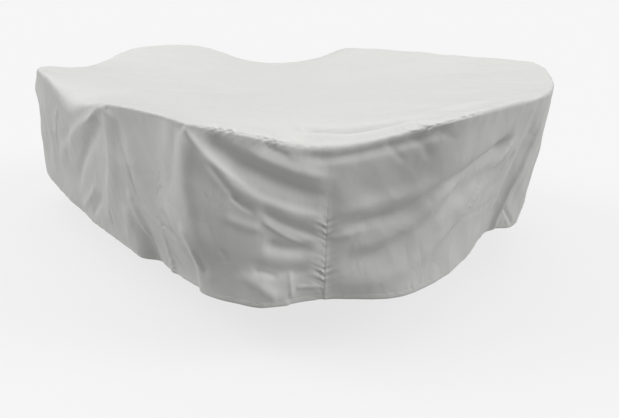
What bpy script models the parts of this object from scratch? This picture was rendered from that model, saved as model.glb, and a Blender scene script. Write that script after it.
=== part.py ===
"""Fitted polyester cover for a patio dining set: a table ringed by six high-backed chairs.

Metres, +Z up.  +X is the long axis of the set, towards its right end, and +Y points to its back.
The origin lies on the underside of the top, in its middle, where the furniture holds the cover up.
The heights in the tables are above the ground that the furniture stands on.

The cloth is one continuous middle surface.  A column goes from the middle of the top out to the
rim, over a rounded edge and down the skirt to the hem.  Each panel takes its own columns and rows
of that surface and has the cloth's thickness, half on each side of it.
"""
from collections import namedtuple

import bmesh
import bpy
import numpy as np

CLOTH_THICKNESS = 0.002
SEAM_GAP = 0.0003
MIDDLE_HEIGHT = 0.880      # the underside of the top's middle, above the ground
BASIN_POWER = 1.8          # how the top rises from its middle to the rim: 1 is a straight slope
RIM_WAVES = 36             # waves of the rim's height that the stretched top follows
SKIRT_DROP = 0.68          # typical height of the skirt, which scales the folds down it
FOLD_FADE = 0.06           # part of the skirt below the rim over which its folds begin
SEAM_HOLD = 0.85           # how much a skirt seam flattens the folds that cross it
SEAM_REACH = 0.035         # how far from the seam that holds
PROBE = 0.002              # step that measures the slope of the surface
CURVE_STEPS = 12           # straight steps that stand for a fold's curve
FOLD_SWELLS = 0.20         # part of a fold's length over which it swells from nothing
FOLD_DIES = 0.75           # part of its length from which it dies away
CREASE_FADE = 12           # power by which the top's creases die away just inside the rim
EDGE_WIDTH = 0.03          # typical width of the rounded edge, half of it on each side of the seam
WELD = 1e-5                # joins the columns that meet in the middle of the top
CLOTH_COLOUR = (0.55, 0.55, 0.53, 1.0)
CLOTH_ROUGHNESS = 0.75

TOP_RINGS = 6
SKIRT_ROWS = 14
EDGE_START, SEAM_ROW, EDGE_END, HEM_ROW = 1.0, 1.5, 2.0, 3.0

# The plan of the rim and of the hem, a row for each place where they turn, anticlockwise from the
# seam at the front right corner.  "cells" is the number of columns up to the next row.
Station = namedtuple("Station", "place rim_x rim_y rim_z hem_x hem_y hem_z radius cells")
STATIONS = (
    Station("front right corner seam", 1.295, -0.705, 0.868, 1.285, -0.725, 0.260, 0.030, 5),
    Station("right end, sagging rim", 1.420, -0.510, 0.903, 1.430, -0.460, 0.265, 0.030, 5),
    Station("end chair, front post", 1.550, -0.330, 0.965, 1.450, -0.300, 0.270, 0.025, 6),
    Station("end chair, crest", 1.565, -0.040, 0.978, 1.430, 0.000, 0.288, 0.025, 6),
    Station("end chair, back post", 1.545, 0.270, 0.975, 1.400, 0.260, 0.310, 0.025, 4),
    Station("end chair, hem step", 1.480, 0.500, 0.980, 1.410, 0.460, 0.275, 0.030, 3),
    Station("back right corner", 1.350, 0.760, 0.990, 1.340, 0.680, 0.290, 0.030, 3),
    Station("back right chair, right post", 1.060, 1.120, 1.020, 1.120, 1.080, 0.280, 0.030, 4),
    Station("back right chair, left post", 0.420, 1.140, 1.022, 0.420, 1.130, 0.270, 0.030, 2),
    Station("back left chair, right post", 0.080, 1.150, 1.025, 0.080, 1.150, 0.270, 0.030, 3),
    Station("back left chair, left post", -0.470, 1.095, 1.020, -0.480, 1.130, 0.270, 0.030, 2),
    Station("back seam", -0.745, 1.080, 0.930, -0.745, 1.120, 0.260, 0.030, 4),
    Station("back left corner seam", -1.240, 0.800, 0.840, -1.260, 0.810, 0.250, 0.030, 4),
    Station("far chair, back post", -1.520, 0.300, 1.018, -1.480, 0.340, 0.270, 0.030, 3),
    Station("far chair, front post", -1.490, -0.240, 1.026, -1.480, -0.220, 0.280, 0.030, 3),
    Station("front left corner", -1.340, -0.700, 0.918, -1.430, -0.850, 0.310, 0.050, 3),
    Station("left front chair, left post", -1.025, -1.045, 0.980, -1.150, -1.080, 0.315, 0.035, 5),
    Station("left front chair, right post", -0.400, -1.170, 0.975, -0.520, -1.130, 0.265, 0.035, 4),
    Station("front rim, lowest sag", -0.170, -1.160, 0.885, -0.200, -1.140, 0.260, 0.050, 5),
    Station("front rim, sagging", 0.130, -1.150, 0.902, 0.050, -1.140, 0.260, 0.050, 7),
    Station("right front chair, left post", 0.505, -1.185, 0.972, 0.440, -1.120, 0.255, 0.020, 7),
    Station("front seam", 0.870, -1.135, 0.981, 0.700, -1.130, 0.255, 0.020, 5),
    Station("right front chair, right post", 1.050, -1.115, 0.978, 0.980, -1.120, 0.280, 0.020, 4),
    Station("front rim by the post", 1.110, -0.970, 0.936, 1.140, -1.010, 0.275, 0.025, 8),
)

# Ridges and troughs of the skirt, each a curve through three places.  "along" is in metres round
# the rim from the front right corner seam, positive towards the right end.  "down" is 0 at the rim
# and 1 at the hem.  "rise" is outwards, so a trough has a negative one.
Fold = namedtuple("Fold", "name along_1 down_1 along_2 down_2 along_3 down_3 rise width")
FOLDS = (
    Fold("left post, upper ridge", -1.06, 0.03, -1.42, 0.10, -1.83, 0.50, 0.020, 0.060),
    Fold("left post, long trough", -1.08, 0.12, -1.43, 0.30, -1.86, 0.86, -0.024, 0.065),
    Fold("left post, hanging ridge", -1.02, 0.06, -1.12, 0.42, -1.28, 0.86, 0.022, 0.060),
    Fold("left post, drag to the seam", -0.95, 0.12, -0.84, 0.52, -0.55, 0.86, -0.010, 0.055),
    Fold("front seam, trough beside it", -0.64, 0.50, -0.54, 0.70, -0.46, 0.92, -0.014, 0.055),
    Fold("right post, main ridge", -0.47, 0.00, -0.29, 0.23, 0.04, 0.41, 0.030, 0.060),
    Fold("right post, deep trough", -0.42, 0.02, -0.18, 0.15, 0.08, 0.26, -0.022, 0.055),
    Fold("corner, upper drag trough", -0.31, 0.38, -0.14, 0.49, 0.03, 0.58, -0.016, 0.055),
    Fold("corner, lower drag ridge", -0.30, 0.55, -0.16, 0.64, 0.03, 0.70, 0.012, 0.055),
    Fold("corner seam, gathered", 0.00, 0.12, 0.01, 0.50, 0.01, 0.96, -0.014, 0.050),
    Fold("right end, first ridge", 0.00, 0.41, 0.20, 0.32, 0.46, 0.27, 0.016, 0.055),
    Fold("right end, first trough", 0.00, 0.51, 0.45, 0.37, 0.95, 0.17, -0.020, 0.055),
    Fold("right end, second ridge", 0.04, 0.63, 0.36, 0.51, 0.70, 0.34, 0.016, 0.055),
    Fold("right end, broad trough", 0.00, 0.77, 0.42, 0.59, 0.90, 0.38, -0.022, 0.065),
    Fold("right end, post trough", 1.10, 0.08, 1.01, 0.45, 0.96, 0.92, -0.020, 0.060),
    Fold("right end, post ridge", 1.21, 0.06, 1.12, 0.45, 1.06, 0.96, 0.026, 0.060),
    Fold("left chair, pocket", -1.73, 0.20, -1.80, 0.50, -1.88, 0.80, -0.014, 0.075),
    Fold("left end, front ridge", -2.60, 0.10, -2.40, 0.50, -2.32, 0.88, 0.020, 0.130),
    Fold("left end, middle trough", -3.25, 0.20, -3.25, 0.60, -3.30, 0.98, -0.020, 0.150),
    Fold("left end, back ridge", -3.95, 0.06, -4.00, 0.50, -3.95, 0.94, 0.020, 0.130),
    Fold("far corner, drag ridge", 3.75, 0.10, 4.05, 0.35, 4.50, 0.52, 0.024, 0.110),
    Fold("far corner, drag trough", 3.85, 0.42, 4.12, 0.62, 4.50, 0.76, -0.020, 0.110),
    Fold("far corner seam, gathered", 4.42, 0.12, 4.43, 0.50, 4.43, 0.98, -0.016, 0.110),
    Fold("back, left chair ridge", 3.52, 0.06, 3.46, 0.50, 3.50, 0.94, 0.018, 0.120),
    Fold("back, trough between chairs", 2.86, 0.16, 2.86, 0.60, 2.84, 0.98, -0.022, 0.130),
    Fold("back, right chair ridge", 2.13, 0.06, 2.18, 0.50, 2.14, 0.94, 0.020, 0.120),
    Fold("back right corner, trough", 1.70, 0.20, 1.76, 0.60, 1.74, 0.98, -0.020, 0.120),
)

# Ridges and troughs of the top, each a line in its plan.
Crease = namedtuple("Crease", "name x_1 y_1 x_2 y_2 rise width")
CREASES = (
    Crease("inside the sagging rim", 1.13, -0.62, 1.38, -0.36, -0.014, 0.050),
    Crease("inside the end chair", 1.40, -0.22, 1.43, 0.22, -0.010, 0.060),
    Crease("from the right post", 0.95, -0.90, 0.10, -0.20, 0.008, 0.110),
    Crease("across the middle", 0.45, -0.35, -0.60, -0.30, -0.008, 0.120),
    Crease("to the far corner", -1.10, 0.62, -0.45, 0.15, -0.012, 0.110),
)


def closed_curve(values, lengths, at):
    """Values at distances round a closed curve whose rows are the given lengths apart."""
    before = np.roll(lengths, 1)[:, None]
    after = lengths[:, None]
    slope_before = (values - np.roll(values, 1, axis=0)) / before
    slope_after = (np.roll(values, -1, axis=0) - values) / after
    tangent = (slope_after * before + slope_before * after) / (before + after)
    starts = np.concatenate([[0.0], np.cumsum(lengths)])
    at = np.mod(at, starts[-1])
    row = np.clip(np.searchsorted(starts, at, side="right") - 1, 0, len(lengths) - 1)
    following = (row + 1) % len(lengths)
    span = lengths[row][..., None]
    t = ((at - starts[row]) / lengths[row])[..., None]
    return (
        values[row] * (1 + 2 * t) * (1 - t) ** 2
        + tangent[row] * span * t * (1 - t) ** 2
        + values[following] * t ** 2 * (3 - 2 * t)
        + tangent[following] * span * t ** 2 * (t - 1)
    )


def smooth_step(value, low, high):
    """0 below low and 1 above high, with a soft change between them."""
    t = np.clip((value - low) / (high - low), 0, 1)
    return t * t * (3 - 2 * t)


def bowed(start, turn, end, t):
    """A bow from start to end that leans towards turn."""
    return (1 - t) ** 2 * start + 2 * t * (1 - t) * turn + t ** 2 * end


class Cloth:
    """The middle surface of the cover, from the middle of its top to its hem."""

    def __init__(self):
        table = np.array([station[1:] for station in STATIONS], dtype=float)
        table[:, [2, 5]] -= MIDDLE_HEIGHT
        self.table = table[:, :7]
        steps = np.roll(table[:, :2], -1, axis=0) - table[:, :2]
        self.lengths = np.hypot(steps[:, 0], steps[:, 1])
        self.around = self.lengths.sum()
        places = np.arange(4 * RIM_WAVES) * self.around / (4 * RIM_WAVES)
        rim_height = closed_curve(self.table, self.lengths, places)[:, 2]
        self.rim_waves = np.fft.rfft(rim_height) / len(places)
        self.seams = [self.station_at(row) for row, station in enumerate(STATIONS)
                      if station.place.endswith("seam")]

    def station_at(self, row):
        """Distance round the rim to a row of the table."""
        return self.lengths[:row].sum()

    def folds(self, along, down):
        """How far the skirt's folds push the cloth outwards."""
        total = np.zeros(np.broadcast(along, down).shape)
        for fold in FOLDS:
            gap, place = self.way_along(fold, along, down)
            swell = smooth_step(place, 0, FOLD_SWELLS) * (1 - smooth_step(place, FOLD_DIES, 1))
            held = 1 if fold.name.endswith("gathered") else 1 - self.near_seam(along)
            total = total + fold.rise * swell * held * np.exp(-(gap / fold.width) ** 2)
        return total * smooth_step(down, 0, FOLD_FADE)

    def way_along(self, fold, along, down):
        """Distance from a fold's curve, and how far along that curve the nearest place is."""
        t = np.linspace(0, 1, CURVE_STEPS + 1)
        turn_along = 2 * fold.along_2 - (fold.along_1 + fold.along_3) / 2
        turn_down = 2 * fold.down_2 - (fold.down_1 + fold.down_3) / 2
        line_x = bowed(fold.along_1, turn_along, fold.along_3, t)
        line_y = bowed(fold.down_1, turn_down, fold.down_3, t) * SKIRT_DROP
        x = self.wrapped(along - fold.along_2) + fold.along_2
        y = down * SKIRT_DROP
        best = np.full(x.shape, np.inf)
        place = np.zeros(x.shape)
        for step in range(CURVE_STEPS):
            run_x, run_y = line_x[step + 1] - line_x[step], line_y[step + 1] - line_y[step]
            off_x, off_y = x - line_x[step], y - line_y[step]
            part = np.clip((off_x * run_x + off_y * run_y) / (run_x ** 2 + run_y ** 2), 0, 1)
            gap = np.hypot(off_x - part * run_x, off_y - part * run_y)
            place = np.where(gap < best, (step + part) / CURVE_STEPS, place)
            best = np.minimum(gap, best)
        return best, place

    def wrapped(self, distance):
        """The short way round the rim for a distance along it."""
        return np.mod(distance + self.around / 2, self.around) - self.around / 2

    def near_seam(self, along):
        """How much a seam's doubled cloth holds folds back: 0 away from the seams."""
        held = 0
        for seam in self.seams:
            held = held + SEAM_HOLD * np.exp(-(self.wrapped(along - seam) / SEAM_REACH) ** 2)
        return held

    def creases(self, x, y):
        """How far the top's creases lift the cloth."""
        total = np.zeros(np.broadcast(x, y).shape)
        for crease in CREASES:
            dx, dy = crease.x_2 - crease.x_1, crease.y_2 - crease.y_1
            s = np.clip(((x - crease.x_1) * dx + (y - crease.y_1) * dy) / (dx * dx + dy * dy), 0, 1)
            gap = (x - crease.x_1 - s * dx) ** 2 + (y - crease.y_1 - s * dy) ** 2
            total = total + crease.rise * np.exp(-gap / crease.width ** 2)
        return total

    def stretched(self, along, part):
        """Height of cloth stretched across the rim: each wave of the rim dies away inwards, and
        the shorter it is the sooner."""
        waves = np.arange(1, RIM_WAVES + 1)
        turn = np.exp(2j * np.pi * along[..., None] / self.around * waves)
        ripple = (self.rim_waves[1:RIM_WAVES + 1] * turn * part[..., None] ** waves).real.sum(axis=-1)
        return self.rim_waves[0].real * part ** BASIN_POWER + 2 * ripple

    def top(self, rim, along, part):
        """The top at a part of the way from its middle to the rim."""
        point = rim * part[..., None]
        point[..., 2] = self.stretched(along, part) + CLOTH_THICKNESS / 2
        point[..., 2] += self.creases(point[..., 0], point[..., 1]) * (1 - part ** CREASE_FADE)
        return point

    def skirt(self, rim, hem, outward, along, down):
        """The skirt at a part of the way from the rim to the hem."""
        return rim + (hem - rim) * down[..., None] + outward * self.folds(along, down)[..., None]

    def point(self, along, row):
        """A place on the middle surface.  Rows: 0 middle, 1 to 2 the rounded edge, 3 the hem."""
        along, row = np.broadcast_arrays(np.asarray(along, float), np.asarray(row, float))
        values = closed_curve(self.table, self.lengths, along)
        ahead = closed_curve(self.table, self.lengths, along + PROBE)
        rim, hem, radius = values[..., 0:3], values[..., 3:6], values[..., 6]
        turn = ahead[..., 0:2] - values[..., 0:2]
        turn = turn / np.linalg.norm(turn, axis=-1, keepdims=True)
        outward = np.stack([turn[..., 1], -turn[..., 0], np.zeros(along.shape)], axis=-1)
        edge_part = 1 - radius / np.linalg.norm(rim[..., :2], axis=-1)
        edge_down = radius / np.linalg.norm(hem - rim, axis=-1)
        part = edge_part * np.clip(row, 0, EDGE_START)
        down = edge_down + (1 - edge_down) * np.clip(row - EDGE_END, 0, 1)
        top = self.top(rim, along, part)
        skirt = self.skirt(rim, hem, outward, along, down)
        return bowed(top, rim, skirt, np.clip(row - EDGE_START, 0, 1)[..., None])

    def facing(self, along, row):
        """The outward normal of the middle surface."""
        off_middle = np.maximum(row, PROBE)
        low, high = np.maximum(row - PROBE, PROBE), np.clip(row + PROBE, 2 * PROBE, HEM_ROW)
        down = self.point(along, high) - self.point(along, low)
        ahead = self.point(along + PROBE, off_middle) - self.point(along - PROBE, off_middle)
        normal = np.cross(down, ahead)
        return normal / np.linalg.norm(normal, axis=-1, keepdims=True)


class Panel:
    """One cut piece of cloth: some columns and rows of the middle surface, made thick."""

    def __init__(self, name, columns, rows):
        self.name, self.columns, self.rows = name, columns, rows

    def build(self, cloth, material):
        """Make the panel's closed solid and its object."""
        across, down = len(self.columns) - 1, len(self.rows) - 1
        bm = bmesh.new()
        bmesh.ops.create_grid(bm, x_segments=across, y_segments=down, size=1.0)
        column = bm.verts.layers.int.new("column")
        row = bm.verts.layers.int.new("row")
        for vert in bm.verts:
            vert[column] = round((vert.co.x + 1) / 2 * across)
            vert[row] = round((vert.co.y + 1) / 2 * down)
        along, depth = np.meshgrid(self.columns, self.rows, indexing="ij")
        middle = cloth.point(along, depth)
        facing = cloth.facing(along, depth)
        for vert in bm.verts:
            vert.co = middle[vert[column], vert[row]]
        bmesh.ops.remove_doubles(bm, verts=bm.verts, dist=WELD)
        bmesh.ops.triangulate(bm, faces=bm.faces, quad_method="SHORT_EDGE")
        grown = bmesh.ops.extrude_face_region(bm, geom=bm.faces[:], use_keep_orig=True)
        outer = {item for item in grown["geom"] if isinstance(item, bmesh.types.BMVert)}
        for vert in bm.verts:
            side = 0.5 if vert in outer else -0.5
            i, j = vert[column], vert[row]
            vert.co = middle[i, j] + facing[i, j] * CLOTH_THICKNESS * side
        bmesh.ops.recalc_face_normals(bm, faces=bm.faces)
        mesh = bpy.data.meshes.new(self.name)
        bm.to_mesh(mesh)
        bm.free()
        mesh.shade_smooth()
        mesh.materials.append(material)
        bpy.context.scene.collection.objects.link(bpy.data.objects.new(self.name, mesh))


def seam_to_seam(cloth, first, last):
    """Columns of the panel between the seams at two rows of the table, short of each by half a gap."""
    columns = []
    for row in range(first, last):
        start, cells = cloth.station_at(row), STATIONS[row].cells
        columns += [start + cloth.lengths[row] * step / cells for step in range(cells)]
    columns[0] += SEAM_GAP / 2
    return np.array(columns + [cloth.station_at(last) - SEAM_GAP / 2])


def fabric():
    """Pale warm-grey polyester."""
    material = bpy.data.materials.new("cover_cloth")
    material.use_nodes = True
    shader = material.node_tree.nodes["Principled BSDF"]
    shader.inputs["Base Color"].default_value = CLOTH_COLOUR
    shader.inputs["Roughness"].default_value = CLOTH_ROUGHNESS
    return material


def main():
    """Clear the scene and build the top and the four lengths of skirt."""
    for item in list(bpy.data.objects):
        bpy.data.objects.remove(item, do_unlink=True)
    cloth = Cloth()
    material = fabric()
    half_gap = SEAM_GAP / 2 / EDGE_WIDTH
    top_rows = np.concatenate([np.linspace(0, EDGE_START, TOP_RINGS + 1), [SEAM_ROW - half_gap]])
    skirt_rows = np.concatenate(
        [[SEAM_ROW + half_gap], np.linspace(EDGE_END, HEM_ROW, SKIRT_ROWS + 1)])
    seams = [row for row, station in enumerate(STATIONS) if station.place.endswith("seam")]
    names = ("skirt_right_and_back", "skirt_far_corner", "skirt_left_and_front",
             "skirt_near_corner")
    for name, first, last in zip(names, seams, seams[1:] + [len(STATIONS)]):
        Panel(name, seam_to_seam(cloth, first, last), skirt_rows).build(cloth, material)
    whole = seam_to_seam(cloth, 0, len(STATIONS))
    whole[0], whole[-1] = 0.0, cloth.around
    Panel("top_panel", whole, top_rows).build(cloth, material)


main()
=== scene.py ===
"""Fitted polyester cover for a patio dining set, hanging as it does over the furniture.

Metres, +Z up.  +X is the long axis of the set, towards its right end, and +Y points to its back.
The origin lies on the underside of the top, in its middle, where the furniture holds it up.

The cover is one continuous cloth surface, cut into a top and four lengths of skirt.  A column of
it goes from the middle of the top out to the rim, over a rounded edge and down to the hem.
"""
import logging
import math
from collections.abc import Callable
from dataclasses import dataclass
from enum import Enum

import bmesh
import bpy
import numpy as np
from mathutils import Matrix


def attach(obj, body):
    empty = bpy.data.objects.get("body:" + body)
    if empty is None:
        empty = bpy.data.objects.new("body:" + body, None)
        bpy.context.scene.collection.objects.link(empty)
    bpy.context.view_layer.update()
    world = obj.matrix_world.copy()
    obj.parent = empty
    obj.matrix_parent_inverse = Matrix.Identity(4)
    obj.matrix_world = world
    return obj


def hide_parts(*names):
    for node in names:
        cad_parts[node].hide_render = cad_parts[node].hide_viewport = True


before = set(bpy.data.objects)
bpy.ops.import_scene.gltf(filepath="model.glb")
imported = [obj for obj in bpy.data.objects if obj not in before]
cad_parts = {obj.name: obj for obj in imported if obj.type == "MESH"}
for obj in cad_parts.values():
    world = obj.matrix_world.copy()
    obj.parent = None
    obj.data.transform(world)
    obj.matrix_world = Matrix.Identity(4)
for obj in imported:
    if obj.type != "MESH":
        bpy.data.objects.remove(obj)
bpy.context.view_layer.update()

MIDDLE_HEIGHT = 0.880      # the underside of the top's middle, above the ground
CLOTH_THICKNESS = 0.0012
CUT_EDGE_ANGLE = 60.0      # degrees past which the cloth's cut edge is shaded as a corner
SEAM_GAP = 0.0001          # between two pieces that are sewn together
SKIRT_DROP = 0.68          # typical height of the skirt, which turns parts of it into metres
# Rows of the cloth: 0 is the middle of the top, and its seam to the skirt is half way over the edge.
EDGE_START, SEAM_ROW, EDGE_END, HEM_ROW = 1.0, 1.5, 2.0, 3.0
PROBE = 0.0015             # step that measures the slope of the surface
TAU = 2 * math.pi
WHITE = (1.0, 1.0, 1.0, 1.0)

log = logging.getLogger("cover")


@dataclass(frozen=True)
class Station:
    """One place where the plan of the rim and of the hem turns, its heights above the ground."""

    place: str
    rim_x: float
    rim_y: float
    rim_z: float
    hem_x: float
    hem_y: float
    hem_z: float
    radius: float
    ease: float = 1.0          # how softly the height of the rim turns here, 0 to 1


# Anticlockwise from the seam at the front right corner.
STATIONS = (
    Station("front right corner seam", 1.295, -0.705, 0.868, 1.285, -0.725, 0.260, 0.030),
    Station("right end, sagging rim", 1.420, -0.510, 0.903, 1.430, -0.460, 0.265, 0.030),
    Station("end chair, front post", 1.550, -0.330, 0.965, 1.450, -0.300, 0.270, 0.025),
    Station("end chair, crest", 1.565, -0.040, 0.978, 1.430, 0.000, 0.288, 0.025),
    Station("end chair, back post", 1.545, 0.270, 0.975, 1.400, 0.260, 0.310, 0.025),
    Station("end chair, hem step", 1.480, 0.500, 0.980, 1.410, 0.460, 0.275, 0.030),
    Station("back right corner", 1.350, 0.760, 0.990, 1.340, 0.680, 0.290, 0.030),
    Station("back right chair, right post", 1.060, 1.120, 1.020, 1.120, 1.080, 0.280, 0.030, 0.3),
    Station("back right chair, left post", 0.420, 1.140, 1.022, 0.420, 1.130, 0.270, 0.030, 0.3),
    Station("back left chair, right post", 0.080, 1.150, 1.025, 0.080, 1.150, 0.270, 0.030, 0.3),
    Station("back left chair, left post", -0.470, 1.095, 1.020, -0.480, 1.130, 0.270, 0.030, 0.3),
    Station("back seam", -0.745, 1.080, 0.930, -0.745, 1.120, 0.260, 0.030),
    Station("back left corner seam", -1.240, 0.800, 0.840, -1.260, 0.810, 0.250, 0.030),
    Station("far chair, back post", -1.520, 0.300, 1.018, -1.480, 0.340, 0.270, 0.030, 0.5),
    Station("far chair, front post", -1.472, -0.250, 1.024, -1.480, -0.220, 0.280, 0.036, 0.5),
    Station("front left corner", -1.322, -0.690, 0.918, -1.430, -0.850, 0.310, 0.080),
    Station("left front chair, left post", -1.010, -1.025, 0.982, -1.160, -1.085, 0.312, 0.045, 0.5),
    Station("left front chair, right post", -0.405, -1.155, 0.975, -0.530, -1.140, 0.262, 0.038, 0.5),
    Station("front rim, lowest sag", -0.170, -1.155, 0.892, -0.200, -1.140, 0.260, 0.065),
    Station("front rim, sagging", 0.130, -1.155, 0.912, 0.050, -1.140, 0.260, 0.028),
    Station("right front chair, left post", 0.505, -1.185, 0.972, 0.440, -1.120, 0.255, 0.020),
    Station("front seam", 0.870, -1.135, 0.981, 0.700, -1.130, 0.255, 0.020),
    Station("right front chair, right post", 1.050, -1.115, 0.978, 0.980, -1.120, 0.280, 0.020),
    Station("front rim by the post", 1.110, -0.970, 0.936, 1.140, -1.010, 0.275, 0.025),
)


class Profile(Enum):
    """The section across a fold."""

    SOFT = "a round swell"
    CRISP = "a ridge that comes to a line"


@dataclass(frozen=True)
class Fold:
    """A ridge or trough along a smooth line through a few places.

    On the skirt a place is (metres round the rim from the front right corner seam, part of the
    way down).  On the top it is (x, y).  "rise" is outwards or upwards, so a trough has a negative
    one.  "lean" widens the side on the right of the line, as seen from outside the skirt, and
    narrows the other.
    "swells" and "dies" are the parts of the line over which it grows and from which it fades.
    """

    name: str
    places: tuple[tuple[float, float], ...]
    rise: float
    width: float
    lean: float = 0.0
    swells: float = 0.20
    dies: float = 0.70
    profile: Profile = Profile.SOFT


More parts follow.
